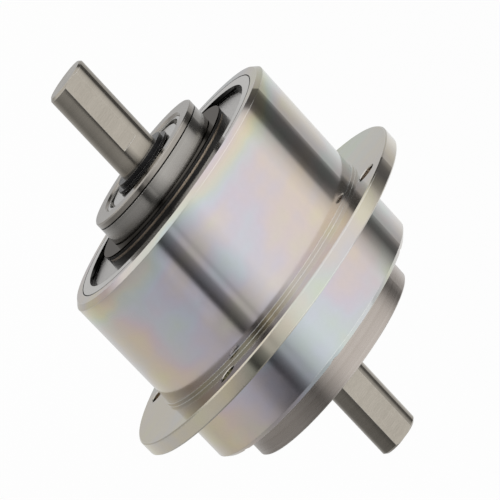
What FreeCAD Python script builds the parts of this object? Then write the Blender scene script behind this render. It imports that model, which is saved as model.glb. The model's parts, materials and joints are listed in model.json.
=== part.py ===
import FreeCAD, Part
import math
import os
from FreeCAD import Vector

# Magnetic powder brake: a stationary yoke with a sealed coil, a mounting flange round it,
# and a through shaft whose drum turns in a ring of iron powder.
# Millimetres. X is the shaft's axis, with the bearing collar at the low end and the plain
# rear cover at the high end. The origin is the centre of the flange's front face. Z is up.

# Shaft
SHAFT_R = 10.0
SHAFT_LAND_STEP = 3.0
ROTOR_SEAT_STEP = 1.0
ROTOR_COLLAR_STEP = 3.0
ROTOR_COLLAR_LENGTH = 4.0
SHAFT_CHAMFER = 1.0
INPUT_END_LENGTH = 44.5
OUTPUT_END_LENGTH = 42.8
FLAT_ANGLE = 52.0
INPUT_FLAT_DEPTH = 0.75
INPUT_FLAT_LENGTH = 34.8
OUTPUT_FLAT_DEPTH = 1.35

# Yoke and flange
BODY_R = 60.0
BODY_CHAMFER = 2.0
YOKE_WALL = 10.0
FRONT_LENGTH = 56.4
REAR_LENGTH = 25.4
FLANGE_WIDTH = 20.0
FLANGE_T = 7.0
FLANGE_EDGE = 0.6
LIP_STEP = 0.9
LIP_LENGTH = 1.8
FLANGE_HOLES = 4
FLANGE_HOLE_R = 4.2
FLANGE_HOLE_ANGLE = 0.0
FLANGE_HOLE_CHAMFER = 0.3

# Magnetic circuit
COIL_WINDOW_DEPTH = 12.0
POLE_T = 4.0
FRONT_WEB_SETBACK = 30.0
FRONT_WEB_T = 8.0
REAR_WEB_SETBACK = 7.0
REAR_WEB_T = 10.0
GAP_RING_LENGTH = 8.0
GAP_RING_SETBACK = 2.0
BOBBIN_T = 1.5
BOBBIN_CLEARANCE = 0.2
BOBBIN_RIM_PROUD = 2.0
WRAP_T = 0.6

# Front end
FRONT_RIM_T = 5.75
COVER_CLEARANCE = 0.1
LOCK_RING_GAP = 0.5
LOCK_RING_WIDTH = 4.95
RECESS_DEPTH = 2.1
COVER_T = 8.3
COVER_GROOVE_WIDTH = 2.0
COVER_GROOVE_DEPTH = 1.2
SPIGOT_WALL = 6.0
HUB_LENGTH = 4.45
HUB_STEP = 6.5
HUB_FACE_T = 0.6
HUB_BAND_SINK = 0.7
HUB_BAND_T = 0.9
HUB_BAND_SETBACK = 1.7
HUB_BAND_DEPTH = 2.0
COLLAR_WALL = 7.1
COLLAR_LENGTH = 10.7
CAP_LENGTH = 2.7
SPLIT_GAP = 0.35
SPLIT_DEPTH = 1.1
COLLAR_CHAMFER = 0.5
BORE_CHAMFER = 0.8

# Rear cover
REAR_SHOULDER = 13.2
REAR_COVER_LENGTH = 12.6
REAR_COVER_EDGE = 0.4
REAR_SPIGOT_STEP = 2.9
REAR_SPIGOT_CLEARANCE = 0.1

# Bearings, a deep groove type with metal shields
BEARING_OUTER_R = 23.5
BEARING_WIDTH = 14.0
BEARING_SETBACK = 0.8
REAR_BEARING_SETBACK = 1.9
BALL_SHARE = 0.294
SHOULDER_SHARE = 0.289
BALL_COUNT = 8
RACE_CLEARANCE = 0.06
SHIELD_GROOVE_STEP = 1.7
SHIELD_GROOVE_WIDTH = 1.6
SHIELD_BORE_CLEARANCE = 0.7
SHIELD_T = 0.4
SHIELD_SETBACK = 0.5
SHIELD_DEPTH = 2.2
BEARING_EDGE = 0.4
CAGE_RIM = 0.57
CAGE_CLEARANCE = 1.25
BEARING_LIP_STEP = 3.5
BEARING_LIP_T = 1.5

# Seals
FELT_STEP = 1.5
FELT_LENGTH = 6.0
FELT_CLEARANCE = 0.05
SEAL_WASHER_T = 1.2
SEAL_WASHER_CLEARANCE = 2.0
FLINGER_STEP = 2.0
FLINGER_T = 1.2
FLINGER_GAP = 2.0
FLINGER_CLEARANCE = 0.4

# Retaining rings on the shaft and in the rear cover
SPACER_WALL = 5.0
SPACER_T = 1.0
CIRCLIP_HEIGHT = 3.0
CIRCLIP_T = 1.75
CIRCLIP_GROOVE_DEPTH = 0.5
INNER_CIRCLIP_DEPTH = 1.1
INNER_CIRCLIP_HEIGHT = 2.3
INNER_CIRCLIP_T = 1.2
INNER_CIRCLIP_MOUTH = 12.3
ROTOR_CIRCLIP_HEIGHT = 3.0
ROTOR_CIRCLIP_T = 1.2
ROTOR_CIRCLIP_DEPTH = 0.8

# Rotor
POWDER_GAP = 0.8
POWDER_CLEARANCE = 0.1
DRUM_RIM_T = 5.2
DRUM_HUB_WALL = 6.0
DRUM_HUB_LENGTH = 28.0
DRUM_WEB_T = 6.0
DRUM_END_CLEARANCE = 2.0
KEY_WIDTH = 5.0
KEY_DEPTH = 2.5
KEY_PROUD = 2.2
KEY_LENGTH = 20.0

# Screws
COVER_SCREWS = 4
COVER_SCREW_R = 2.5
COVER_SCREW_HEAD_R = 4.25
COVER_SCREW_HEAD_T = 5.0
COVER_SCREW_INSET = 4.9
COVER_SCREW_GRIP = 8.0
TIE_SCREWS = 6
TIE_SCREW_R = 2.0
TIE_SCREW_HEAD_R = 3.5
TIE_SCREW_HEAD_T = 4.0
TIE_SCREW_INSET = 5.25
TIE_SCREW_GRIP = 8.0
SCREW_CLEARANCE = 0.25
SCREW_SINK = 0.4
SOCKET_DEPTH_SHARE = 0.5
SOCKET_WIDTH_SHARE = 0.8

# Lead outlet behind the flange, on the side away from the shaft flats
LEAD_SETBACK = 5.0
LEAD_ANGLE = 270.0
LEAD_HOLE_R = 3.5
LEAD_BORE_R = 2.0
GROMMET_HEAD_R = 4.8
GROMMET_HEAD_T = 1.8

# Radii of the yoke and flange
YOKE_BORE_R = BODY_R - YOKE_WALL
LIP_R = BODY_R + LIP_STEP
FLANGE_R = BODY_R + FLANGE_WIDTH
FLANGE_PITCH_R = (BODY_R + FLANGE_R) / 2
POLE_OUTER_R = YOKE_BORE_R - COIL_WINDOW_DEPTH
POLE_INNER_R = POLE_OUTER_R - POLE_T
TIE_SCREW_PITCH_R = BODY_R - TIE_SCREW_INSET

# Radii of the front end and the rear cover
COVER_SEAT_R = BODY_R - FRONT_RIM_T
LOCK_RING_INNER_R = COVER_SEAT_R - LOCK_RING_WIDTH
COVER_GROOVE_INNER_R = LOCK_RING_INNER_R - COVER_GROOVE_WIDTH
COLLAR_R = BEARING_OUTER_R + COLLAR_WALL
HUB_R = COLLAR_R + HUB_STEP
HUB_BAND_R = HUB_R - HUB_BAND_SINK
REAR_COVER_R = BODY_R - REAR_SHOULDER
REAR_SPIGOT_R = REAR_COVER_R - REAR_SPIGOT_STEP
COVER_SCREW_PITCH_R = REAR_SPIGOT_R - COVER_SCREW_INSET

# Radii of the bearings and what seats on their bores
BEARING_SECTION = BEARING_OUTER_R - SHAFT_R
PITCH_R = (SHAFT_R + BEARING_OUTER_R) / 2
BALL_R = BEARING_SECTION * BALL_SHARE
RACE_R = BALL_R + RACE_CLEARANCE
INNER_SHOULDER_R = SHAFT_R + BEARING_SECTION * SHOULDER_SHARE
OUTER_SHOULDER_R = BEARING_OUTER_R - BEARING_SECTION * SHOULDER_SHARE
SHIELD_GROOVE_R = BEARING_OUTER_R - SHIELD_GROOVE_STEP
SHIELD_R = SHIELD_GROOVE_R - SHIELD_GROOVE_WIDTH
SHIELD_BORE_R = INNER_SHOULDER_R + SHIELD_BORE_CLEARANCE
CAGE_HALF_WIDTH = RACE_R + CAGE_RIM
CAGE_HALF_HEIGHT = (OUTER_SHOULDER_R - INNER_SHOULDER_R) / 2 - CAGE_CLEARANCE
BEARING_LIP_R = BEARING_OUTER_R - BEARING_LIP_STEP
INNER_CIRCLIP_R = BEARING_OUTER_R + INNER_CIRCLIP_DEPTH
INNER_CIRCLIP_BORE_R = BEARING_OUTER_R - INNER_CIRCLIP_HEIGHT
FELT_OUTER_R = BEARING_OUTER_R - FELT_STEP
SPIGOT_R = FELT_OUTER_R + SPIGOT_WALL

# Radii of the shaft and what sits on it
SHAFT_LAND_R = SHAFT_R + SHAFT_LAND_STEP
ROTOR_SEAT_R = SHAFT_LAND_R + ROTOR_SEAT_STEP
ROTOR_COLLAR_R = ROTOR_SEAT_R + ROTOR_COLLAR_STEP
SEAL_WASHER_INNER_R = SHAFT_LAND_R + SEAL_WASHER_CLEARANCE
SPACER_R = SHAFT_R + SPACER_WALL
CIRCLIP_R = SHAFT_R + CIRCLIP_HEIGHT
ROTOR_CIRCLIP_R = ROTOR_SEAT_R + ROTOR_CIRCLIP_HEIGHT
DRUM_R = POLE_INNER_R - POWDER_GAP
DRUM_RIM_INNER_R = DRUM_R - DRUM_RIM_T
DRUM_HUB_R = ROTOR_SEAT_R + DRUM_HUB_WALL
FLINGER_R = FELT_OUTER_R + FLINGER_STEP
FIT_OVERRUN = 1.0

# Stations along the shaft
X_FRONT = -FRONT_LENGTH
X_FLANGE_BACK = FLANGE_T
X_REAR = X_FLANGE_BACK + REAR_LENGTH
X_COVER_END = X_REAR + REAR_COVER_LENGTH
X_FLOOR = X_FRONT + RECESS_DEPTH
X_COVER_BACK = X_FLOOR + COVER_T
X_HUB = X_FLOOR - HUB_LENGTH
X_COLLAR_END = X_HUB - SPLIT_GAP
X_COLLAR = X_COLLAR_END - COLLAR_LENGTH
X_SPLIT = X_COLLAR + CAP_LENGTH
X_FRONT_BEARING = X_COLLAR + BEARING_SETBACK
X_FRONT_BEARING_BACK = X_FRONT_BEARING + BEARING_WIDTH
X_REAR_BEARING_BACK = X_COVER_END - REAR_BEARING_SETBACK
X_REAR_BEARING = X_REAR_BEARING_BACK - BEARING_WIDTH
X_INPUT_TIP = X_COLLAR - INPUT_END_LENGTH
X_OUTPUT_TIP = X_COVER_END + OUTPUT_END_LENGTH
X_FRONT_WEB = -FRONT_WEB_SETBACK
X_COIL_FRONT = X_FRONT_WEB + FRONT_WEB_T
X_COIL_BACK = X_FLANGE_BACK + REAR_WEB_SETBACK
X_REAR_WEB_BACK = X_COIL_BACK + REAR_WEB_T
X_GAP_RING_BACK = -GAP_RING_SETBACK
X_GAP_RING = X_GAP_RING_BACK - GAP_RING_LENGTH
X_SPIGOT_END = X_REAR_WEB_BACK + REAR_SPIGOT_CLEARANCE
X_LEAD = X_FLANGE_BACK + LEAD_SETBACK
X_DRUM = X_FRONT_WEB + DRUM_END_CLEARANCE
X_DRUM_BACK = X_REAR_WEB_BACK - DRUM_END_CLEARANCE
X_DRUM_MIDDLE = (X_DRUM + X_DRUM_BACK) / 2
X_HUB_SEAT = X_DRUM_MIDDLE - DRUM_HUB_LENGTH / 2
X_HUB_SEAT_BACK = X_DRUM_MIDDLE + DRUM_HUB_LENGTH / 2


def turned(points):
    """A solid of revolution about the X axis, from its (x, radius) outline."""
    corners = [Vector(x, 0, r) for x, r in points]
    face = Part.Face(Part.makePolygon(corners + corners[:1]))
    return face.revolve(Vector(0, 0, 0), Vector(1, 0, 0), 360)


def ring(inner, outer, start, end):
    return turned([(start, inner), (start, outer), (end, outer), (end, inner)])


def chamfered_ring(inner, outer, start, end, edge):
    """A ring with a small chamfer on both outer edges."""
    return turned([
        (start, inner), (start, outer - edge), (start + edge, outer),
        (end - edge, outer), (end, outer - edge), (end, inner),
    ])


def spot(radius, angle, x=0.0):
    """A point at an angle from straight up, turning towards the side of the shaft flats."""
    turn = math.radians(angle)
    return Vector(x, -radius * math.sin(turn), radius * math.cos(turn))


def rod(radius, start, end, pitch=0.0, angle=0.0):
    """A solid cylinder along X, on a pitch circle."""
    return Part.makeCylinder(radius, end - start, spot(pitch, angle, start), Vector(1, 0, 0))


def circle_angles(count, first=0.0):
    return [first + 360.0 * n / count for n in range(count)]


def group(solids):
    return Part.makeCompound(solids)


def cut_all(shape, tools):
    for tool in tools:
        shape = shape.cut(tool)
    return shape


# Screws and the holes that take them

def cap_screw(radius, head_r, head_t, seat, tip, pitch, angle):
    """A socket head screw whose head faces the rear."""
    shank = rod(radius, tip, seat, pitch, angle)
    head = rod(head_r, seat, seat + head_t, pitch, angle)
    across = radius * 2 * SOCKET_WIDTH_SHARE
    corners = []
    for corner in range(7):
        turn = math.radians(60 * corner)
        offset = Vector(0, across / 2 * math.cos(turn), across / 2 * math.sin(turn))
        corners.append(spot(pitch, angle, seat + head_t * (1 - SOCKET_DEPTH_SHARE)) + offset)
    socket = Part.Face(Part.makePolygon(corners)).extrude(Vector(head_t, 0, 0))
    return shank.fuse(head).removeSplitter().cut(socket)


TIE_ANGLES = circle_angles(TIE_SCREWS)
TIE_SEAT = X_REAR - SCREW_SINK - TIE_SCREW_HEAD_T
TIE_TIP = -TIE_SCREW_GRIP
COVER_ANGLES = circle_angles(COVER_SCREWS, 45.0)
COVER_SEAT = X_COVER_END - SCREW_SINK - COVER_SCREW_HEAD_T
COVER_TIP = X_REAR_WEB_BACK - COVER_SCREW_GRIP


def tie_holes(start, end, extra):
    return [rod(TIE_SCREW_R + extra, start, end, TIE_SCREW_PITCH_R, a) for a in TIE_ANGLES]


def yoke_tie_screws():
    return group([
        cap_screw(TIE_SCREW_R, TIE_SCREW_HEAD_R, TIE_SCREW_HEAD_T, TIE_SEAT, TIE_TIP,
                  TIE_SCREW_PITCH_R, a)
        for a in TIE_ANGLES
    ])


def rear_cover_screws():
    return group([
        cap_screw(COVER_SCREW_R, COVER_SCREW_HEAD_R, COVER_SCREW_HEAD_T, COVER_SEAT, COVER_TIP,
                  COVER_SCREW_PITCH_R, a)
        for a in COVER_ANGLES
    ])


# Yoke, flange and coil

LEAD_OUT = spot(1, LEAD_ANGLE)
LEAD_FOOT = Vector(X_LEAD, 0, 0) + LEAD_OUT * YOKE_BORE_R


def front_yoke():
    body = turned([
        (X_FRONT, COVER_SEAT_R), (X_FRONT, BODY_R - BODY_CHAMFER), (X_FRONT + BODY_CHAMFER, BODY_R),
        (0, BODY_R), (0, YOKE_BORE_R), (X_COIL_FRONT, YOKE_BORE_R), (X_COIL_FRONT, POLE_OUTER_R),
        (X_GAP_RING, POLE_OUTER_R), (X_GAP_RING, POLE_INNER_R), (X_FRONT_WEB, POLE_INNER_R),
        (X_FRONT_WEB, YOKE_BORE_R), (X_COVER_BACK, YOKE_BORE_R), (X_COVER_BACK, COVER_SEAT_R),
    ])
    return cut_all(body, tie_holes(TIE_TIP, FIT_OVERRUN, 0.0))


def rear_yoke():
    body = turned([
        (X_FLANGE_BACK, YOKE_BORE_R), (X_FLANGE_BACK, BODY_R), (X_REAR - BODY_CHAMFER, BODY_R),
        (X_REAR, BODY_R - BODY_CHAMFER), (X_REAR, REAR_SPIGOT_R), (X_REAR_WEB_BACK, REAR_SPIGOT_R),
        (X_REAR_WEB_BACK, POLE_INNER_R), (X_GAP_RING_BACK, POLE_INNER_R),
        (X_GAP_RING_BACK, POLE_OUTER_R), (X_COIL_BACK, POLE_OUTER_R), (X_COIL_BACK, YOKE_BORE_R),
    ])
    heads = [rod(TIE_SCREW_HEAD_R + SCREW_CLEARANCE, TIE_SEAT, X_REAR + FIT_OVERRUN,
                 TIE_SCREW_PITCH_R, a) for a in TIE_ANGLES]
    threads = [rod(COVER_SCREW_R, COVER_TIP, X_REAR_WEB_BACK + FIT_OVERRUN,
                   COVER_SCREW_PITCH_R, a) for a in COVER_ANGLES]
    shanks = tie_holes(X_FLANGE_BACK - FIT_OVERRUN, X_REAR, SCREW_CLEARANCE)
    lead_hole = Part.makeCylinder(LEAD_HOLE_R, YOKE_WALL + FIT_OVERRUN, LEAD_FOOT, LEAD_OUT)
    return cut_all(body, heads + threads + shanks + [lead_hole])


def flange_hole(angle):
    """One mounting hole with a small chamfer at each face."""
    wide = FLANGE_HOLE_R + FLANGE_HOLE_CHAMFER
    hole = turned([
        (0, 0), (0, wide), (FLANGE_HOLE_CHAMFER, FLANGE_HOLE_R),
        (FLANGE_T - FLANGE_HOLE_CHAMFER, FLANGE_HOLE_R), (FLANGE_T, wide), (FLANGE_T, 0),
    ])
    hole.translate(spot(FLANGE_PITCH_R, angle))
    return hole


def mounting_flange():
    plate = turned([
        (0, YOKE_BORE_R), (0, BODY_R), (-LIP_LENGTH, BODY_R), (-LIP_LENGTH, LIP_R), (0, LIP_R),
        (0, FLANGE_R - FLANGE_EDGE), (FLANGE_EDGE, FLANGE_R), (FLANGE_T - FLANGE_EDGE, FLANGE_R),
        (FLANGE_T, FLANGE_R - FLANGE_EDGE), (FLANGE_T, YOKE_BORE_R),
    ])
    holes = [flange_hole(a) for a in circle_angles(FLANGE_HOLES, FLANGE_HOLE_ANGLE)]
    shanks = tie_holes(-FIT_OVERRUN, FLANGE_T + FIT_OVERRUN, SCREW_CLEARANCE)
    return cut_all(plate, holes + shanks)


def gap_ring():
    return ring(POLE_INNER_R, POLE_OUTER_R, X_GAP_RING, X_GAP_RING_BACK)


BOBBIN_R = POLE_OUTER_R + BOBBIN_CLEARANCE / 2
BOBBIN_OUTER_R = YOKE_BORE_R - BOBBIN_CLEARANCE
X_BOBBIN = X_COIL_FRONT + BOBBIN_CLEARANCE
X_BOBBIN_BACK = X_COIL_BACK - BOBBIN_CLEARANCE
COIL_INNER_R = BOBBIN_R + BOBBIN_T
COIL_OUTER_R = BOBBIN_OUTER_R - BOBBIN_RIM_PROUD - WRAP_T
X_COIL = X_BOBBIN + BOBBIN_T
X_COIL_END = X_BOBBIN_BACK - BOBBIN_T


def coil_bobbin():
    return turned([
        (X_BOBBIN, BOBBIN_R), (X_BOBBIN, BOBBIN_OUTER_R), (X_COIL, BOBBIN_OUTER_R),
        (X_COIL, COIL_INNER_R), (X_COIL_END, COIL_INNER_R), (X_COIL_END, BOBBIN_OUTER_R),
        (X_BOBBIN_BACK, BOBBIN_OUTER_R), (X_BOBBIN_BACK, BOBBIN_R),
    ])


def coil_winding():
    return ring(COIL_INNER_R, COIL_OUTER_R, X_COIL, X_COIL_END)


def coil_wrap():
    return ring(COIL_OUTER_R, COIL_OUTER_R + WRAP_T, X_COIL, X_COIL_END)


def lead_grommet():
    """A rubber bush in the yoke's wall, its head shaped to the yoke's round side."""
    neck = Part.makeCylinder(LEAD_HOLE_R, YOKE_WALL, LEAD_FOOT, LEAD_OUT)
    head = Part.makeCylinder(
        GROMMET_HEAD_R, YOKE_WALL / 2 + GROMMET_HEAD_T, LEAD_FOOT + LEAD_OUT * (YOKE_WALL / 2), LEAD_OUT)
    head = head.cut(rod(BODY_R, X_FLANGE_BACK, X_REAR))
    bore = Part.makeCylinder(
        LEAD_BORE_R, YOKE_WALL + GROMMET_HEAD_T + 2 * FIT_OVERRUN,
        LEAD_FOOT - LEAD_OUT * FIT_OVERRUN, LEAD_OUT)
    return neck.fuse(head).removeSplitter().cut(bore)


# Front cover, hub and collar

def front_cover():
    outer = COVER_SEAT_R - COVER_CLEARANCE
    return turned([
        (X_FLOOR, SPIGOT_R), (X_FLOOR, COVER_GROOVE_INNER_R),
        (X_FLOOR + COVER_GROOVE_DEPTH, COVER_GROOVE_INNER_R),
        (X_FLOOR + COVER_GROOVE_DEPTH, LOCK_RING_INNER_R), (X_FLOOR, LOCK_RING_INNER_R),
        (X_FLOOR, outer), (X_COVER_BACK, outer), (X_COVER_BACK, SPIGOT_R),
    ])


def front_lock_ring():
    return ring(LOCK_RING_INNER_R, COVER_SEAT_R - LOCK_RING_GAP, X_FRONT, X_FLOOR)


def hub_face_ring():
    return ring(SPIGOT_R, HUB_R, X_HUB, X_HUB + HUB_FACE_T)


X_BAND = X_HUB + HUB_BAND_SETBACK


def hub_seal():
    bottom = HUB_BAND_R - HUB_BAND_DEPTH
    return turned([
        (X_HUB + HUB_FACE_T, SPIGOT_R), (X_HUB + HUB_FACE_T, HUB_R), (X_BAND, HUB_R),
        (X_BAND, bottom), (X_BAND + HUB_BAND_T, bottom), (X_BAND + HUB_BAND_T, HUB_R),
        (X_FLOOR, HUB_R), (X_FLOOR, SPIGOT_R),
    ])


def hub_seal_band():
    return ring(HUB_BAND_R - HUB_BAND_DEPTH, HUB_BAND_R, X_BAND, X_BAND + HUB_BAND_T)


def bearing_cap():
    return turned([
        (X_COLLAR, BEARING_OUTER_R + BORE_CHAMFER), (X_COLLAR, COLLAR_R - COLLAR_CHAMFER),
        (X_COLLAR + COLLAR_CHAMFER, COLLAR_R), (X_SPLIT, COLLAR_R),
        (X_SPLIT, COLLAR_R - SPLIT_DEPTH), (X_SPLIT + SPLIT_GAP, COLLAR_R - SPLIT_DEPTH),
        (X_SPLIT + SPLIT_GAP, BEARING_OUTER_R), (X_COLLAR + BORE_CHAMFER, BEARING_OUTER_R),
    ])


X_FELT = X_FRONT_BEARING_BACK + BEARING_LIP_T
X_FELT_END = X_FELT + FELT_LENGTH


def bearing_housing():
    """The collar's rear part, with the bearing's seat and a spigot through hub and cover."""
    return turned([
        (X_SPLIT + SPLIT_GAP, BEARING_OUTER_R), (X_SPLIT + SPLIT_GAP, COLLAR_R),
        (X_COLLAR_END, COLLAR_R), (X_COLLAR_END, COLLAR_R - SPLIT_DEPTH),
        (X_HUB, COLLAR_R - SPLIT_DEPTH), (X_HUB, SPIGOT_R), (X_FELT_END + SEAL_WASHER_T, SPIGOT_R),
        (X_FELT_END + SEAL_WASHER_T, FELT_OUTER_R), (X_FELT, FELT_OUTER_R), (X_FELT, BEARING_LIP_R),
        (X_FRONT_BEARING_BACK, BEARING_LIP_R), (X_FRONT_BEARING_BACK, BEARING_OUTER_R),
    ])


def front_felt_seal():
    return ring(SHAFT_LAND_R + FELT_CLEARANCE, FELT_OUTER_R, X_FELT, X_FELT_END)


def front_seal_washer():
    return ring(SEAL_WASHER_INNER_R, FELT_OUTER_R, X_FELT_END, X_FELT_END + SEAL_WASHER_T)


# Rear cover

X_REAR_LIP = X_REAR_BEARING - BEARING_LIP_T


def rear_cover():
    clip_end = X_REAR_BEARING_BACK + INNER_CIRCLIP_T
    body = turned([
        (X_SPIGOT_END, FELT_OUTER_R), (X_SPIGOT_END, REAR_SPIGOT_R - REAR_SPIGOT_CLEARANCE),
        (X_REAR, REAR_SPIGOT_R - REAR_SPIGOT_CLEARANCE), (X_REAR, REAR_COVER_R),
        (X_COVER_END - REAR_COVER_EDGE, REAR_COVER_R), (X_COVER_END, REAR_COVER_R - REAR_COVER_EDGE),
        (X_COVER_END, BEARING_OUTER_R), (clip_end, BEARING_OUTER_R), (clip_end, INNER_CIRCLIP_R),
        (X_REAR_BEARING_BACK, INNER_CIRCLIP_R), (X_REAR_BEARING_BACK, BEARING_OUTER_R),
        (X_REAR_BEARING, BEARING_OUTER_R), (X_REAR_BEARING, BEARING_LIP_R),
        (X_REAR_LIP, BEARING_LIP_R), (X_REAR_LIP, FELT_OUTER_R),
    ])
    heads = [rod(COVER_SCREW_HEAD_R + SCREW_CLEARANCE, COVER_SEAT, X_COVER_END + FIT_OVERRUN,
                 COVER_SCREW_PITCH_R, a) for a in COVER_ANGLES]
    shanks = [rod(COVER_SCREW_R + SCREW_CLEARANCE, X_REAR_WEB_BACK, COVER_SEAT + FIT_OVERRUN,
                  COVER_SCREW_PITCH_R, a) for a in COVER_ANGLES]
    return cut_all(body, heads + shanks)


def rear_felt_seal():
    return ring(SHAFT_LAND_R + FELT_CLEARANCE, FELT_OUTER_R, X_SPIGOT_END, X_REAR_LIP)


def rear_bearing_circlip():
    """The ring that keeps the rear bearing in its seat, open at the bottom for pliers."""
    end = X_REAR_BEARING_BACK + INNER_CIRCLIP_T
    body = ring(INNER_CIRCLIP_BORE_R, INNER_CIRCLIP_R, X_REAR_BEARING_BACK, end)
    mouth = Part.makeBox(
        INNER_CIRCLIP_T + 2 * FIT_OVERRUN, INNER_CIRCLIP_MOUTH, INNER_CIRCLIP_R,
        Vector(X_REAR_BEARING_BACK - FIT_OVERRUN, -INNER_CIRCLIP_MOUTH / 2,
               -INNER_CIRCLIP_R - FIT_OVERRUN))
    return body.cut(mouth)


# Bearings

def race_groove(middle):
    return Part.makeTorus(PITCH_R, RACE_R, Vector(middle, 0, 0), Vector(1, 0, 0))


def bearing_outer_ring(start):
    end = start + BEARING_WIDTH
    body = turned([
        (start, SHIELD_GROOVE_R), (start, BEARING_OUTER_R - BEARING_EDGE),
        (start + BEARING_EDGE, BEARING_OUTER_R), (end - BEARING_EDGE, BEARING_OUTER_R),
        (end, BEARING_OUTER_R - BEARING_EDGE), (end, SHIELD_GROOVE_R),
        (end - SHIELD_DEPTH, SHIELD_GROOVE_R), (end - SHIELD_DEPTH, OUTER_SHOULDER_R),
        (start + SHIELD_DEPTH, OUTER_SHOULDER_R), (start + SHIELD_DEPTH, SHIELD_GROOVE_R),
    ])
    return body.cut(race_groove(start + BEARING_WIDTH / 2))


def bearing_inner_ring(start):
    body = chamfered_ring(SHAFT_R, INNER_SHOULDER_R, start, start + BEARING_WIDTH, BEARING_EDGE)
    return body.cut(race_groove(start + BEARING_WIDTH / 2))


def shield(face, inward):
    """A pressed steel cup whose rim stands on the outer ring's shoulder."""
    plate = face + inward * SHIELD_SETBACK
    under = plate + inward * SHIELD_T
    foot = face + inward * SHIELD_DEPTH
    return turned([
        (plate, SHIELD_BORE_R), (plate, SHIELD_R - SHIELD_T), (under, SHIELD_R), (foot, SHIELD_R),
        (foot, SHIELD_R - SHIELD_T), (under, SHIELD_R - SHIELD_T), (under, SHIELD_BORE_R),
    ])


def bearing_shields(start):
    return group([shield(start, 1), shield(start + BEARING_WIDTH, -1)])


def bearing_balls(start):
    middle = start + BEARING_WIDTH / 2
    return group([Part.makeSphere(BALL_R, spot(PITCH_R, a, middle)) for a in circle_angles(BALL_COUNT)])


def bearing_cage(start):
    middle = start + BEARING_WIDTH / 2
    body = ring(PITCH_R - CAGE_HALF_HEIGHT, PITCH_R + CAGE_HALF_HEIGHT,
                middle - CAGE_HALF_WIDTH, middle + CAGE_HALF_WIDTH)
    pockets = [Part.makeSphere(RACE_R, spot(PITCH_R, a, middle)) for a in circle_angles(BALL_COUNT)]
    return cut_all(body, pockets)


# Shaft and rotor

def flat_cutter(start, end, depth):
    """The block that mills one flat along the shaft."""
    block = Part.makeBox(end - start, 4 * SHAFT_R, 2 * SHAFT_R,
                         Vector(start, -2 * SHAFT_R, SHAFT_R - depth))
    block.rotate(Vector(0, 0, 0), Vector(1, 0, 0), FLAT_ANGLE)
    return block


X_ROTOR_CLIP = X_HUB_SEAT - ROTOR_CIRCLIP_T
X_SPACER = X_FRONT_BEARING - SPACER_T
X_FRONT_CLIP = X_SPACER - CIRCLIP_T
X_REAR_CLIP_END = X_REAR_BEARING_BACK + CIRCLIP_T
X_KEY = X_DRUM_MIDDLE - KEY_LENGTH / 2
X_LAND = X_HUB_SEAT_BACK + ROTOR_COLLAR_LENGTH


def key_block(low, high, length):
    return Part.makeBox(length, KEY_WIDTH, high - low,
                        Vector(X_DRUM_MIDDLE - length / 2, -KEY_WIDTH / 2, low))


def shaft():
    groove_r = SHAFT_R - CIRCLIP_GROOVE_DEPTH
    clip_r = ROTOR_SEAT_R - ROTOR_CIRCLIP_DEPTH
    body = turned([
        (X_INPUT_TIP, 0), (X_INPUT_TIP, SHAFT_R - SHAFT_CHAMFER),
        (X_INPUT_TIP + SHAFT_CHAMFER, SHAFT_R), (X_FRONT_CLIP, SHAFT_R), (X_FRONT_CLIP, groove_r),
        (X_SPACER, groove_r), (X_SPACER, SHAFT_R), (X_FRONT_BEARING_BACK, SHAFT_R),
        (X_FRONT_BEARING_BACK, SHAFT_LAND_R), (X_ROTOR_CLIP - FLINGER_GAP, SHAFT_LAND_R),
        (X_ROTOR_CLIP - FLINGER_GAP, ROTOR_SEAT_R), (X_ROTOR_CLIP, ROTOR_SEAT_R),
        (X_ROTOR_CLIP, clip_r), (X_HUB_SEAT, clip_r), (X_HUB_SEAT, ROTOR_SEAT_R),
        (X_HUB_SEAT_BACK, ROTOR_SEAT_R), (X_HUB_SEAT_BACK, ROTOR_COLLAR_R),
        (X_LAND, ROTOR_COLLAR_R), (X_LAND, SHAFT_LAND_R), (X_REAR_BEARING, SHAFT_LAND_R),
        (X_REAR_BEARING, SHAFT_R), (X_REAR_BEARING_BACK, SHAFT_R), (X_REAR_BEARING_BACK, groove_r),
        (X_REAR_CLIP_END, groove_r), (X_REAR_CLIP_END, SHAFT_R),
        (X_OUTPUT_TIP - SHAFT_CHAMFER, SHAFT_R), (X_OUTPUT_TIP, SHAFT_R - SHAFT_CHAMFER),
        (X_OUTPUT_TIP, 0),
    ])
    flats = [
        flat_cutter(X_INPUT_TIP - FIT_OVERRUN, X_INPUT_TIP + INPUT_FLAT_LENGTH, INPUT_FLAT_DEPTH),
        flat_cutter(X_REAR_CLIP_END, X_OUTPUT_TIP + FIT_OVERRUN, OUTPUT_FLAT_DEPTH),
    ]
    slot = key_block(ROTOR_SEAT_R - KEY_DEPTH, ROTOR_SEAT_R + FIT_OVERRUN, KEY_LENGTH)
    return cut_all(body, flats + [slot])


def rotor_drum():
    """The hub, web and rim that carry the powder's pull to the shaft."""
    web = X_DRUM_MIDDLE - DRUM_WEB_T / 2
    web_back = X_DRUM_MIDDLE + DRUM_WEB_T / 2
    body = turned([
        (X_HUB_SEAT, ROTOR_SEAT_R), (X_HUB_SEAT, DRUM_HUB_R), (web, DRUM_HUB_R),
        (web, DRUM_RIM_INNER_R), (X_DRUM, DRUM_RIM_INNER_R), (X_DRUM, DRUM_R),
        (X_DRUM_BACK, DRUM_R), (X_DRUM_BACK, DRUM_RIM_INNER_R), (web_back, DRUM_RIM_INNER_R),
        (web_back, DRUM_HUB_R), (X_HUB_SEAT_BACK, DRUM_HUB_R), (X_HUB_SEAT_BACK, ROTOR_SEAT_R),
    ])
    slot = key_block(ROTOR_SEAT_R - KEY_DEPTH, ROTOR_SEAT_R + KEY_PROUD,
                     DRUM_HUB_LENGTH + FIT_OVERRUN)
    return body.cut(slot)


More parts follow.
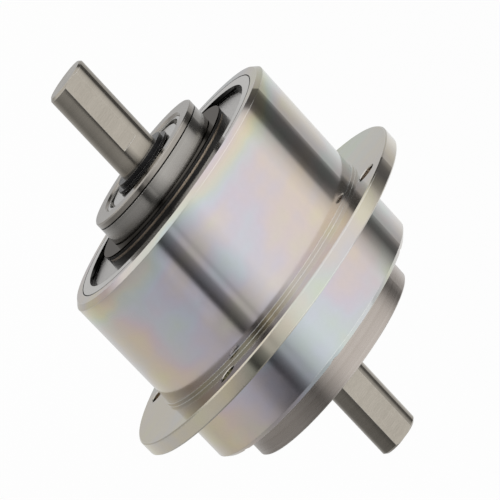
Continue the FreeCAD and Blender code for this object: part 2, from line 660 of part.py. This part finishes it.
def rotor_key():
    return key_block(ROTOR_SEAT_R - KEY_DEPTH, ROTOR_SEAT_R + KEY_PROUD, KEY_LENGTH)


def rotor_circlip():
    return ring(ROTOR_SEAT_R - ROTOR_CIRCLIP_DEPTH, ROTOR_CIRCLIP_R, X_ROTOR_CLIP, X_HUB_SEAT)


def front_flinger():
    start = X_FELT_END + SEAL_WASHER_T + FLINGER_GAP
    return ring(SHAFT_LAND_R, FLINGER_R, start, start + FLINGER_T)


def rear_flinger():
    start = X_DRUM_BACK + FLINGER_CLEARANCE
    return ring(SHAFT_LAND_R, FLINGER_R, start, start + FLINGER_T)


def magnetic_powder():
    """The ring of iron powder in the gap, as a closed solid just clear of the drum."""
    return ring(DRUM_R + POWDER_CLEARANCE, POLE_INNER_R, X_DRUM, X_DRUM_BACK)


def front_spacer_ring():
    return ring(SHAFT_R, SPACER_R, X_SPACER, X_FRONT_BEARING)


def front_shaft_circlip():
    return ring(SHAFT_R - CIRCLIP_GROOVE_DEPTH, CIRCLIP_R, X_FRONT_CLIP, X_SPACER)


def rear_shaft_circlip():
    return ring(SHAFT_R - CIRCLIP_GROOVE_DEPTH, CIRCLIP_R, X_REAR_BEARING_BACK, X_REAR_CLIP_END)


PIECES = {
    "front_yoke": front_yoke(),
    "rear_yoke": rear_yoke(),
    "mounting_flange": mounting_flange(),
    "nonmagnetic_ring": gap_ring(),
    "coil_bobbin": coil_bobbin(),
    "coil_winding": coil_winding(),
    "coil_wrap": coil_wrap(),
    "lead_grommet": lead_grommet(),
    "front_cover": front_cover(),
    "front_lock_ring": front_lock_ring(),
    "hub_face_ring": hub_face_ring(),
    "hub_seal": hub_seal(),
    "hub_seal_band": hub_seal_band(),
    "bearing_cap": bearing_cap(),
    "bearing_housing": bearing_housing(),
    "front_felt_seal": front_felt_seal(),
    "front_seal_washer": front_seal_washer(),
    "rear_cover": rear_cover(),
    "rear_felt_seal": rear_felt_seal(),
    "rear_bearing_circlip": rear_bearing_circlip(),
    "rear_cover_screws": rear_cover_screws(),
    "yoke_tie_screws": yoke_tie_screws(),
    "magnetic_powder": magnetic_powder(),
    "shaft": shaft(),
    "rotor_drum": rotor_drum(),
    "rotor_key": rotor_key(),
    "rotor_circlip": rotor_circlip(),
    "front_flinger": front_flinger(),
    "rear_flinger": rear_flinger(),
    "front_spacer_ring": front_spacer_ring(),
    "front_shaft_circlip": front_shaft_circlip(),
    "rear_shaft_circlip": rear_shaft_circlip(),
}
for side, start in (("front", X_FRONT_BEARING), ("rear", X_REAR_BEARING)):
    PIECES[side + "_bearing_outer_ring"] = bearing_outer_ring(start)
    PIECES[side + "_bearing_inner_ring"] = bearing_inner_ring(start)
    PIECES[side + "_bearing_shields"] = bearing_shields(start)
    PIECES[side + "_bearing_balls"] = bearing_balls(start)
    PIECES[side + "_bearing_cage"] = bearing_cage(start)

os.makedirs("parts", exist_ok=True)
for name, piece in PIECES.items():
    piece.exportStep("parts/" + name + ".step")
    box = piece.BoundBox
    print(name, len(piece.Solids), piece.isValid(), round(piece.Volume, 1),
          round(box.XMin, 2), round(box.XMax, 2))
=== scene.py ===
import json
import math

import bpy
from mathutils import Matrix, Vector


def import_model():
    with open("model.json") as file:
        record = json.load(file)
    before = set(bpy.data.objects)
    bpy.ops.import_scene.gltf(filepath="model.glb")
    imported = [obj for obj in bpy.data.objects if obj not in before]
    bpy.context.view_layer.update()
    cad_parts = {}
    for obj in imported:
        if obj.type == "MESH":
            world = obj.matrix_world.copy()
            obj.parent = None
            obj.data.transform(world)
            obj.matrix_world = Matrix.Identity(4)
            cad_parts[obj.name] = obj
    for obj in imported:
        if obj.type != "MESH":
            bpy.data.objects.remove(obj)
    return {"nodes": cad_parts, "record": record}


# The looks of a magnetic powder brake. Metres, in the part's own frame: X is the shaft, with the
# bearing collar at the low end, and Z is up.
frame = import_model()
bpy.context.view_layer.update()

MM = 0.001

# The collar's end of the shaft leans towards the viewer, the shaft is turned in the picture, and the
# part is rolled about its shaft
VIEW_LEAN = math.radians(10.26)
VIEW_TURN = math.radians(42.19)
VIEW_ROLL = math.radians(28.0)
VIEW_DISTANCE = 1.990

# The picture, in pixels, and how far it is stretched upwards
PICTURE_PIXELS = 500
PIXELS_PER_METRE = 2265.5
PICTURE_OFFSET = (9.12, 36.84)
PICTURE_STRETCH = 1.1812
SENSOR = 36.0

SHAFT_AXIS = Vector((1, 0, 0))
UP_SIDE = Vector((0, math.sin(VIEW_ROLL), math.cos(VIEW_ROLL)))
NEAR_SIDE = SHAFT_AXIS.cross(UP_SIDE)

# Surroundings
FLOOR_DROP = 0.30
FLOOR_SIZE = 24.0
FLOOR_GREY = 0.86
FLOOR_GLOW_SHARE = 0.90
AMBIENT = 0.75
TENT_RADIUS = 1.5
TENT_LENGTH = 5.0
TENT_STEPS = 96


# Short calls for making node trees

# Turn of the brushing against the tangent, as a share of a full turn
BRUSHING_TURN = 0.25


class Nodes:
    """One material's node tree, with a call for each kind of node that the finishes share."""

    def __init__(self, name):
        self.material = bpy.data.materials.new(name)
        self.material.use_nodes = True
        self.tree = self.material.node_tree
        self.shader = self.tree.nodes["Principled BSDF"]
        self.output = self.tree.nodes["Material Output"]

    def add(self, kind, sockets=(), **settings):
        node = self.tree.nodes.new(kind)
        for key, value in settings.items():
            setattr(node, key, value)
        for key, value in dict(sockets).items():
            self.set(node.inputs[key], value)
        return node

    def set(self, socket, value):
        if isinstance(value, bpy.types.NodeSocket):
            self.tree.links.new(value, socket)
        else:
            socket.default_value = value

    def math(self, operation, a, b=0.0):
        return self.add("ShaderNodeMath", {0: a, 1: b}, operation=operation).outputs[0]

    def vector(self, operation, a, b=(0, 0, 0)):
        node = self.add("ShaderNodeVectorMath", {0: a, 1: b}, operation=operation)
        return node.outputs["Value" if operation in ("LENGTH", "DOT_PRODUCT") else "Vector"]

    def place(self):
        return self.add("ShaderNodeTexCoord").outputs["Object"]

    def noise(self, vector, scale, detail=2.0, roughness=0.5):
        node = self.add("ShaderNodeTexNoise", {
            "Vector": vector, "Scale": scale, "Detail": detail, "Roughness": roughness})
        return node.outputs["Fac"]

    def ramp(self, factor, stops):
        node = self.add("ShaderNodeValToRGB", {"Fac": factor})
        ramp = node.color_ramp
        while len(ramp.elements) < len(stops):
            ramp.elements.new(0.5)
        for element, (position, colour) in zip(ramp.elements, stops):
            element.position = position
            element.color = (*colour, 1.0)
        return node.outputs["Color"]

    def spread(self, value, low, high, to_low=0.0, to_high=1.0):
        node = self.add("ShaderNodeMapRange", {
            "Value": value, "From Min": low, "From Max": high, "To Min": to_low, "To Max": to_high})
        return node.outputs["Result"]

    def mix(self, factor, a, b):
        node = self.add("ShaderNodeMix", data_type="RGBA")
        for socket, value in ((node.inputs[0], factor), (node.inputs[6], a), (node.inputs[7], b)):
            if isinstance(value, tuple) and len(value) == 3:
                value = (*value, 1.0)
            self.set(socket, value)
        return node.outputs[2]

    def along(self, vector):
        """How far a vector goes along the shaft."""
        return self.add("ShaderNodeSeparateXYZ", {0: vector}).outputs["X"]

    def radius(self, place):
        """Distance out from the shaft's axis."""
        return self.vector("LENGTH", self.vector("MULTIPLY", place, (0, 1, 1)))

    def turned_place(self):
        """Distance along the shaft and out from it, so that marks run round as on a lathe."""
        place = self.place()
        joined = self.add("ShaderNodeCombineXYZ", {0: self.along(place), 1: self.radius(place)})
        return joined.outputs[0]

    def shade_round(self, stops, slant=0.0):
        """Grey or colour by the direction round the shaft, in degrees from the viewer's side down."""
        place = self.place()
        near = self.vector("DOT_PRODUCT", place, tuple(NEAR_SIDE))
        down = self.vector("DOT_PRODUCT", place, tuple(-UP_SIDE))
        turn = self.math("ADD", self.math("ARCTAN2", down, near), slant)
        stops = [((angle + 180) / 360, tone if isinstance(tone, tuple) else (tone, tone, tone))
                 for angle, tone in stops]
        return self.ramp(self.spread(turn, -math.pi, math.pi), stops)

    def walls(self):
        """One where a face looks away from the shaft or towards it, nought where it looks along."""
        normal = self.add("ShaderNodeNewGeometry").outputs["True Normal"]
        return self.spread(self.math("ABSOLUTE", self.along(normal)), 0.4, 0.6, 1.0, 0.0)

    def bump(self, height, strength, distance, normal=None):
        sockets = {"Height": height, "Strength": strength, "Distance": distance}
        if normal is not None:
            sockets["Normal"] = normal
        return self.add("ShaderNodeBump", sockets).outputs["Normal"]

    def soft_edges(self, radius):
        return self.add("ShaderNodeBevel", {"Radius": radius}, samples=4).outputs["Normal"]

    def edge_share(self, radius):
        """One on sharp edges and nought on flat or round stretches."""
        rounded = self.soft_edges(radius)
        plain = self.add("ShaderNodeNewGeometry").outputs["Normal"]
        return self.math("SUBTRACT", 1.0, self.vector("DOT_PRODUCT", rounded, plain))

    def finish(self, colour, metallic, roughness, normal=None, anisotropic=0.0):
        inputs = self.shader.inputs
        self.set(inputs["Base Color"], colour)
        self.set(inputs["Metallic"], metallic)
        self.set(inputs["Roughness"], roughness)
        if normal is not None:
            self.set(inputs["Normal"], normal)
        if anisotropic:
            inputs["Anisotropic"].default_value = anisotropic
            inputs["Anisotropic Rotation"].default_value = BRUSHING_TURN
            tangent = self.add("ShaderNodeTangent", direction_type="RADIAL", axis="X")
            self.set(inputs["Tangent"], tangent.outputs[0])
        return self.material


# Finishes

# Colours of the chromate film by the direction round the shaft, in degrees as in shade_round
PLATING = (
    (-180, (0.62, 0.60, 0.50)), (-120, (0.60, 0.62, 0.56)), (-66, (0.64, 0.63, 0.54)),
    (-46, (0.72, 0.65, 0.50)), (-36, (0.68, 0.61, 0.57)), (-20, (0.65, 0.60, 0.63)),
    (0, (0.61, 0.62, 0.64)), (30, (0.60, 0.59, 0.67)), (43, (0.64, 0.60, 0.63)),
    (51, (0.71, 0.59, 0.56)), (60, (0.74, 0.64, 0.48)), (68, (0.71, 0.66, 0.47)),
    (80, (0.68, 0.66, 0.53)), (120, (0.64, 0.60, 0.62)), (180, (0.62, 0.60, 0.50)),
)

# The same for the flange, whose film is yellower
FLANGE_PLATING = (
    (-180, (0.70, 0.68, 0.54)), (-100, (0.73, 0.74, 0.56)), (-60, (0.66, 0.63, 0.52)),
    (-26, (0.65, 0.64, 0.60)), (-8, (0.67, 0.66, 0.55)), (6, (0.72, 0.67, 0.45)),
    (24, (0.69, 0.63, 0.42)), (42, (0.66, 0.65, 0.51)), (90, (0.64, 0.60, 0.45)),
    (130, (0.64, 0.61, 0.48)), (180, (0.70, 0.68, 0.54)),
)

# Colours that the film runs through as it gets thicker
RAINBOW = (
    (0.00, (0.74, 0.66, 0.40)),
    (0.20, (0.72, 0.58, 0.52)),
    (0.38, (0.62, 0.55, 0.66)),
    (0.54, (0.54, 0.63, 0.72)),
    (0.70, (0.52, 0.68, 0.60)),
    (0.85, (0.66, 0.70, 0.44)),
    (1.00, (0.76, 0.66, 0.44)),
)

# How finely the film drifts, and changes in patches and streaks, along the shaft and across it
DRIFT_GRAIN = (18, 9, 9)
PATCH_GRAIN = (26, 15, 15)
STREAK_GRAIN = (14, 90, 90)

# How far the drift moves the colours round the shaft, in radians either way
DRIFT_REACH = 0.10

# How many times the patches, the streaks and the front edge take it through those colours
PATCH_TURNS = 2.4
STREAK_TURNS = 0.35
EDGE_FILM_TURNS = 0.9

X_FRONT_EDGE = -56.4 * MM
EDGE_FILM = 14.0 * MM
SCUFF = (0.50, 0.48, 0.44)
# Painted highlight colour for the plating's sharp edges
PLATED_EDGE_HIGHLIGHT = (0.95, 0.95, 0.91)

# Painted shade: near black for narrow gaps, grooves and the walls of bores inside this radius, where
# shade falls
PAINTED_SHADE = (0.008, 0.008, 0.007)
BORE_RADIUS = 55.5 * MM


def plated_steel(name="plated_steel", film=PLATING, strength=0.40):
    """Zinc plating with a yellow chromate film, whose pale colours change round and along the part."""
    n = Nodes(name)
    place = n.place()
    drift = n.noise(n.vector("MULTIPLY", place, DRIFT_GRAIN), 1.0)
    colour = n.shade_round(film, n.spread(drift, 0.3, 0.7, -DRIFT_REACH, DRIFT_REACH))
    patch = n.noise(n.vector("MULTIPLY", place, PATCH_GRAIN), 1.0, 3.0, 0.55)
    streak = n.noise(n.vector("MULTIPLY", place, STREAK_GRAIN), 1.0)
    thickness = n.math("ADD", n.math("MULTIPLY", patch, PATCH_TURNS),
                       n.math("MULTIPLY", streak, STREAK_TURNS))
    rim = n.spread(n.along(place), X_FRONT_EDGE, X_FRONT_EDGE + EDGE_FILM, EDGE_FILM_TURNS, 0.0)
    thickness = n.math("ADD", thickness, rim)
    rainbow = n.ramp(n.math("FRACT", thickness), RAINBOW)
    colour = n.mix(strength, colour, rainbow)
    marks = n.noise(n.turned_place(), 1400.0)
    scuffs = n.noise(place, 420.0, 4.0, 0.65)
    colour = n.mix(n.spread(scuffs, 0.35, 0.75, 0.0, 0.08), colour, SCUFF)
    # Painted highlight: a pale line along sharp edges
    edge_highlight_mask = n.spread(n.edge_share(0.35 * MM), 0.01, 0.10)
    colour = n.mix(edge_highlight_mask, colour, PLATED_EDGE_HIGHLIGHT)
    # Painted shade: the walls of the bores are coloured near black
    bore_shade_mask = n.math("MULTIPLY", n.walls(), n.math("LESS_THAN", n.radius(place), BORE_RADIUS))
    colour = n.mix(bore_shade_mask, colour, PAINTED_SHADE)
    rough = n.spread(n.noise(place, 90.0, 4.0), 0.3, 0.7, 0.09, 0.13)
    normal = n.bump(marks, 0.03, 0.02 * MM, n.soft_edges(0.3 * MM))
    return n.finish(colour, 1.0, rough, normal, 0.3)


# Half the width of the painted shade line at the collar's split, and the width over which it fades
SEAM_HALF = 0.25 * MM
SEAM_FADE = 0.10 * MM
COLLAR_SPLIT = -67.1 * MM

# Painted highlight colour for bare steel's sharp edges
STEEL_EDGE_HIGHLIGHT = (0.80, 0.78, 0.75)


def turned(name, dark, light, roughness, grain=1700.0, depth=0.10, anisotropic=0.5,
           painted_shade_walls=False, painted_shade_rim=None, painted_shade_seam=None):
    """Bare steel with fine marks that run round the shaft.

    Painted shade can colour its walls, all beyond a radius, and a line at a place along the shaft near
    black, and a painted highlight runs along its sharp edges.
    """
    n = Nodes(name)
    place = n.place()
    marks = n.noise(n.turned_place(), grain, 3.0, 0.6)
    broad = n.noise(n.turned_place(), grain / 9)
    cloud = n.noise(place, 60.0, 3.0)
    tone = n.math("ADD", n.math("MULTIPLY", marks, 0.5), n.math("MULTIPLY", broad, 0.3))
    tone = n.math("ADD", tone, n.math("MULTIPLY", cloud, 0.2))
    colour = n.mix(n.spread(tone, 0.3, 0.7), dark, light)
    # Painted highlight: a pale line along sharp edges
    edge_highlight_mask = n.spread(n.edge_share(0.25 * MM), 0.01, 0.12)
    colour = n.mix(edge_highlight_mask, colour, STEEL_EDGE_HIGHLIGHT)
    # Painted shade: the walls, the rim beyond a radius and a thin line at the split are coloured near
    # black
    if painted_shade_walls:
        colour = n.mix(n.walls(), colour, PAINTED_SHADE)
    if painted_shade_rim:
        colour = n.mix(n.math("GREATER_THAN", n.radius(place), painted_shade_rim), colour, PAINTED_SHADE)
    if painted_shade_seam:
        off = n.math("ABSOLUTE", n.math("SUBTRACT", n.along(place), painted_shade_seam))
        colour = n.mix(n.spread(off, SEAM_HALF, SEAM_HALF + SEAM_FADE, 1.0, 0.0), colour, PAINTED_SHADE)
    rough = n.spread(marks, 0.2, 0.8, roughness - 0.03, roughness + 0.04)
    normal = n.bump(marks, depth, 0.03 * MM, n.soft_edges(0.2 * MM))
    return n.finish(colour, 1.0, rough, normal, anisotropic)


def dull(name, dark, light, roughness, metallic=0.0, scale=300.0, painted_edge_highlight=None):
    """A plain surface with a fine uneven grain, and a painted highlight of a given colour along its
    sharp edges.
    """
    n = Nodes(name)
    grain = n.noise(n.place(), scale, 4.0, 0.6)
    colour = n.mix(n.spread(grain, 0.3, 0.7), dark, light)
    # Painted highlight: a paler colour along sharp edges
    if painted_edge_highlight:
        colour = n.mix(n.spread(n.edge_share(0.15 * MM), 0.02, 0.15), colour, painted_edge_highlight)
    rough = n.spread(grain, 0.3, 0.7, roughness - 0.06, roughness + 0.06)
    return n.finish(colour, metallic, rough, n.bump(grain, 0.04, 0.05 * MM, n.soft_edges(0.15 * MM)))


def wound(name, dark, light, pitch):
    """Fine turns laid side by side round the shaft."""
    n = Nodes(name)
    wave = n.add("ShaderNodeTexWave", {"Vector": n.turned_place(), "Scale": 0.5 / pitch,
                                       "Distortion": 0.4}, bands_direction="X").outputs["Fac"]
    colour = n.mix(wave, dark, light)
    return n.finish(colour, 1.0, 0.35, n.bump(wave, 0.5, 0.1 * MM))


FINISHES = {
    "plated_steel": plated_steel(),
    "turned_steel": turned("turned_steel", (0.44, 0.42, 0.40), (0.62, 0.60, 0.57), 0.17),
    "ground_steel": turned("ground_steel", (0.37, 0.34, 0.29), (0.50, 0.46, 0.40), 0.17, 2600.0, 0.05),
    "bright_steel": turned("bright_steel", (0.50, 0.49, 0.47), (0.66, 0.65, 0.63), 0.14, 2200.0, 0.04),
    # Black steel carries a painted highlight along its edges
    "black_steel": dull("black_steel", (0.010, 0.010, 0.011), (0.022, 0.022, 0.024), 0.28, 0.6,
                        painted_edge_highlight=(0.20, 0.19, 0.18)),
    "black_rubber": dull("black_rubber", (0.006, 0.006, 0.006), (0.012, 0.011, 0.010), 0.34),
    "felt": dull("felt", (0.55, 0.52, 0.45), (0.72, 0.69, 0.62), 0.9, 0.0, 2400.0),
    "brass_ring": turned("brass_ring", (0.62, 0.45, 0.20), (0.74, 0.57, 0.28), 0.28),
    "copper_wire": wound("copper_wire", (0.45, 0.20, 0.10), (0.80, 0.42, 0.26), 0.55 * MM),
    "bobbin_nylon": dull("bobbin_nylon", (0.74, 0.71, 0.64), (0.82, 0.80, 0.74), 0.45),
    "insulating_tape": dull("insulating_tape", (0.72, 0.60, 0.20), (0.80, 0.70, 0.30), 0.35),
    "iron_powder": dull("iron_powder", (0.05, 0.05, 0.05), (0.11, 0.11, 0.11), 0.75, 0.5, 3000.0),
}

SLOTS = {part["node"]: part["material_slot"] for part in frame["record"]["subparts"]}


def hub_face():
    """A dark lacquered face, which mirrors the collar beside it when seen from low down."""
    n = Nodes("hub_face")
    n.set(n.shader.inputs["Specular Tint"], (0.50, 0.48, 0.46, 1.0))
    colour = n.mix(n.noise(n.place(), 300.0), (0.030, 0.028, 0.026), (0.050, 0.047, 0.044))
    return n.finish(colour, 1.0, 0.06, n.soft_edges(0.15 * MM))


# Pieces whose finish differs from the rest of their slot
OWN_FINISHES = {
    "mounting_flange": plated_steel("plated_flange", FLANGE_PLATING, 0.34),
    "hub_face_ring": hub_face(),
    "hub_seal_band": turned("warm_band", (0.78, 0.62, 0.46), (0.92, 0.80, 0.66), 0.30, depth=0.03),
    # Painted shade on the lock ring's walls and outer rim, and on the walls of the cover's recess
    "front_lock_ring": turned("ring_steel", (0.62, 0.60, 0.57), (0.76, 0.74, 0.71), 0.09, depth=0.02,
                              painted_shade_walls=True, painted_shade_rim=53.8 * MM),
    "front_cover": turned("recess_steel", (0.50, 0.48, 0.46), (0.64, 0.62, 0.60), 0.24, depth=0.03,
                          painted_shade_walls=True),
    # Painted shade in a thin line along the collar's split, on both of its pieces
    "bearing_cap": turned("cap_steel", (0.31, 0.285, 0.255), (0.46, 0.43, 0.39), 0.13,
                          painted_shade_seam=COLLAR_SPLIT),
    "bearing_housing": turned("housing_steel", (0.30, 0.285, 0.265), (0.45, 0.435, 0.41), 0.13,
                              painted_shade_seam=COLLAR_SPLIT),
    "rear_cover": turned("cover_steel", (0.45, 0.40, 0.36), (0.59, 0.54, 0.50), 0.28),
}


def dress_nodes():
    """Gives each piece its own finish, or else its slot's."""
    for name, slot in SLOTS.items():
        piece = frame["nodes"][name]
        for index in range(len(piece.material_slots)):
            piece.material_slots[index].material = OWN_FINISHES.get(name, FINISHES[slot])


# Studio

# Brightness of the cards by the direction round the shaft, in degrees from the viewer's side
# downwards, in four rows along the shaft
UPPER_BAND = (
    (-118, 0.12), (-104, 0.08), (-97, 0.14), (-93, 0.60), (-84, 0.84), (-74, 0.98), (-10, 1.00),
)
FRONT_UPPER_CARDS = ((-180, 0.58), (-150, 0.60), (-136, 0.56), (-122, 0.48)) + UPPER_BAND
MIDDLE_UPPER_CARDS = ((-180, 0.82), (-150, 0.82), (-136, 0.66), (-122, 0.50)) + UPPER_BAND
REAR_UPPER_CARDS = (
    (-180, 0.82), (-150, 0.82), (-136, 0.66), (-122, 0.45), (-117, 0.15), (-109, 0.11), (-103, 0.28),
    (-97, 0.45), (-90, 0.66), (-78, 0.92), (-10, 1.00),
)
FRONT_LOWER_CARDS = (
    (0, 0.76), (9, 0.54), (13.5, 0.42), (14.8, 0.30), (16.4, 0.42), (20, 0.42), (22.5, 0.20),
    (31, 0.06), (36, 0.12), (44, 0.36), (60, 0.38), (110, 0.28), (150, 0.54), (180, 0.58),
)
MIDDLE_LOWER_CARDS = (
    (0, 0.86), (9, 0.68), (13.5, 0.58), (14.8, 0.36), (16.4, 0.58), (20, 0.62), (22.5, 0.26),
    (31, 0.06), (33, 0.12), (35.5, 0.64), (41, 0.66), (48, 0.57), (120, 0.62), (150, 0.70), (180, 0.68),
)
REAR_LOWER_CARDS = (
    (0, 0.88), (10, 0.66), (14.8, 0.44), (20, 0.40), (25, 0.14), (31, 0.03), (38, 0.05),
    (48, 0.22), (58, 0.46), (72, 0.56), (100, 0.58), (120, 0.54), (150, 0.66), (180, 0.68),
)
END_LOWER_CARDS = (
    (0, 0.90), (10, 0.66), (20, 0.40), (28, 0.16), (40, 0.08), (50, 0.12), (70, 0.20), (120, 0.24),
    (150, 0.50), (180, 0.68),
)

# Stations along the part over which the row of cards that it mirrors gives way to the next
FRONT_CARDS_END = (-0.060, -0.057)
REAR_CARDS_START = (0.002, 0.012)
END_CARDS_START = (0.031, 0.036)

# How far along a card lies, by its distance from the shaft, for the station that mirrors it
CARD_AHEAD = 0.181
CARD_SPREAD = 0.508

# The cards of the first two rows turn by this many radians a metre between these two places, and
# all the cards fade to one grey at the tent's front
TENT_SLANT = 0.34
TENT_SLANT_START = -2.0
TENT_SLANT_END = 0.2
TENT_FADE = (-1.9, -1.3)
TENT_FRONT_GREY = (0.97, 0.97, 0.97)


def cards(n):
    """Grey of the studio's cards by the direction round the shaft and the place along it."""
    place = n.place()
    along = n.along(place)
    radius = n.radius(place)
    station = n.math("DIVIDE", n.math("SUBTRACT", along, n.math("MULTIPLY", radius, CARD_AHEAD)),
                     n.math("ADD", n.math("MULTIPLY", radius, CARD_SPREAD), 1.0))
    on_tent = n.math("DIVIDE", n.math("MULTIPLY", along, TENT_RADIUS), radius)
    most_slant = TENT_SLANT * (TENT_SLANT_END - TENT_SLANT_START)
    slant = n.spread(on_tent, TENT_SLANT_START, TENT_SLANT_END, most_slant, 0.0)
    front = n.shade_round(FRONT_UPPER_CARDS + FRONT_LOWER_CARDS, slant)
    middle = n.shade_round(MIDDLE_UPPER_CARDS + MIDDLE_LOWER_CARDS, slant)
    rear = n.shade_round(REAR_UPPER_CARDS + REAR_LOWER_CARDS)
    end = n.shade_round(REAR_UPPER_CARDS + END_LOWER_CARDS)
    shades = n.mix(n.spread(station, *FRONT_CARDS_END), front, middle)
    shades = n.mix(n.spread(station, *REAR_CARDS_START), shades, rear)
    shades = n.mix(n.spread(station, *END_CARDS_START), shades, end)
    return n.mix(n.spread(on_tent, *TENT_FADE, 1.0, 0.0), shades, TENT_FRONT_GREY)


def tent_material():
    n = Nodes("light_tent")
    glow = n.add("ShaderNodeEmission", {"Color": cards(n)})
    n.tree.links.new(glow.outputs[0], n.output.inputs["Surface"])
    return n.material


def only_reflected(piece):
    """Hides a piece from all but reflections."""
    for ray in ("camera", "diffuse", "transmission", "volume_scatter", "shadow"):
        setattr(piece, "visible_" + ray, False)


def light_tent():
    """Cards of several greys round the part, which only its reflections show."""
    points = []
    for step in range(TENT_STEPS):
        turn = 2 * math.pi * step / TENT_STEPS
        spoke = Vector((0, math.cos(turn), math.sin(turn))) * TENT_RADIUS
        for end in (-1, 1):
            points.append(spoke + SHAFT_AXIS * end * TENT_LENGTH / 2)
    count = len(points)
    faces = [(i, i + 1, (i + 3) % count, (i + 2) % count) for i in range(0, count, 2)]
    mesh = bpy.data.meshes.new("light_tent")
    mesh.from_pydata(points, [], faces)
    mesh.materials.append(tent_material())
    tent = bpy.data.objects.new("light_tent", mesh)
    bpy.context.collection.objects.link(tent)
    only_reflected(tent)


def sees_background(n):
    """One for what the camera sees directly, in a reflection or through glass."""
    path = n.add("ShaderNodeLightPath")
    return n.math("MAXIMUM", path.outputs["Is Camera Ray"],
                  n.math("MAXIMUM", path.outputs["Is Glossy Ray"], path.outputs["Is Transmission Ray"]))


def floor():
    """A pale floor that keeps the part's shadow, and shows the tent's cards to what mirrors it."""
    n = Nodes("floor")
    path = n.add("ShaderNodeLightPath")
    n.set(n.shader.inputs["Base Color"], (FLOOR_GREY, FLOOR_GREY, FLOOR_GREY, 1.0))
    n.set(n.shader.inputs["Roughness"], 0.9)
    seen = n.mix(path.outputs["Is Glossy Ray"], (1.0, 1.0, 1.0), cards(n))
    glow = n.add("ShaderNodeEmission", {"Color": seen})
    share = n.math("MULTIPLY", sees_background(n), FLOOR_GLOW_SHARE)
    share = n.math("MAXIMUM", share, path.outputs["Is Glossy Ray"])
    blend = n.add("ShaderNodeMixShader", {0: share, 1: n.shader.outputs[0], 2: glow.outputs[0]})
    n.tree.links.new(blend.outputs[0], n.output.inputs["Surface"])
    half = FLOOR_SIZE / 2
    corners = [(-half, -half, -FLOOR_DROP), (half, -half, -FLOOR_DROP),
               (half, half, -FLOOR_DROP), (-half, half, -FLOOR_DROP)]
    mesh = bpy.data.meshes.new("floor")
    mesh.from_pydata(corners, [], [(0, 1, 2, 3)])
    mesh.materials.append(n.material)
    piece = bpy.data.objects.new("floor", mesh)
    bpy.context.collection.objects.link(piece)


def world():
    """Even light, and white where the camera, a reflection or glass sees it."""
    space = bpy.data.worlds.new("studio")
    bpy.context.scene.world = space
    space.use_nodes = True
    tree = space.node_tree
    path = tree.nodes.new("ShaderNodeLightPath")
    seen = path.outputs["Is Camera Ray"]
    for ray in ("Is Glossy Ray", "Is Transmission Ray"):
        either = tree.nodes.new("ShaderNodeMath")
        either.operation = "MAXIMUM"
        tree.links.new(seen, either.inputs[0])
        tree.links.new(path.outputs[ray], either.inputs[1])
        seen = either.outputs[0]
    level = tree.nodes.new("ShaderNodeMapRange")
    level.inputs["To Min"].default_value = AMBIENT
    tree.links.new(seen, level.inputs["Value"])
    tree.links.new(level.outputs[0], tree.nodes["Background"].inputs["Strength"])
    tree.nodes["Background"].inputs["Color"].default_value = (1, 1, 1, 1)


def lamp(name, place, watts, size):
    light = bpy.data.lights.new(name, "AREA")
    light.energy = watts
    light.size = size
    piece = bpy.data.objects.new(name, light)
    bpy.context.collection.objects.link(piece)
    piece.location = place
    piece.rotation_mode = "QUATERNION"
    piece.rotation_quaternion = (-Vector(place)).to_track_quat("-Z", "Y")
    piece.visible_glossy = False


def lamps():
    """A soft key lamp over the collar's end, and a weaker one over the rear cover's."""
    lamp("key_lamp", (-1.2, -1.4, 2.0), 26.0, 1.4)
    lamp("fill_lamp", (1.6, -1.2, 1.2), 9.0, 1.6)


# Camera

def camera():
    """The picture was stretched upwards, so the film leans back by the angle that does the same."""
    across = Vector((math.cos(VIEW_LEAN) * math.cos(VIEW_TURN),
                     math.sin(VIEW_TURN),
                     math.sin(VIEW_LEAN) * math.cos(VIEW_TURN)))
    upward = Vector((-math.cos(VIEW_LEAN) * math.sin(VIEW_TURN),
                     math.cos(VIEW_TURN),
                     -math.sin(VIEW_LEAN) * math.sin(VIEW_TURN)))
    toward = Vector((-math.sin(VIEW_LEAN), 0, math.cos(VIEW_LEAN)))

    def in_part(v):
        return SHAFT_AXIS * v[0] + UP_SIDE * v[1] + NEAR_SIDE * v[2]

    right, up, back = in_part(across), in_part(upward), in_part(toward)
    lean = math.acos(1 / PICTURE_STRETCH)
    film_up = up * math.cos(lean) - back * math.sin(lean)
    place = (back * VIEW_DISTANCE - right * PICTURE_OFFSET[0] / PIXELS_PER_METRE
             + up * PICTURE_OFFSET[1] / PICTURE_STRETCH / PIXELS_PER_METRE)
    matrix = Matrix.Identity(4)
    for column, values in enumerate((right, film_up, back, place)):
        for row in range(3):
            matrix[row][column] = values[row]
    data = bpy.data.cameras.new("camera")
    data.sensor_width = SENSOR
    data.lens = PIXELS_PER_METRE * VIEW_DISTANCE * SENSOR / PICTURE_PIXELS
    data.clip_end = 100.0
    stand = bpy.data.objects.new("camera_stand", None)
    piece = bpy.data.objects.new("camera", data)
    for thing in (stand, piece):
        bpy.context.collection.objects.link(thing)
    piece.parent = stand
    piece.matrix_parent_inverse = matrix
    bpy.context.scene.camera = piece


dress_nodes()
camera()
world()
lamps()
floor()
light_tent()
bpy.context.scene.view_settings.view_transform = "Standard"

bpy.context.view_layer.update()
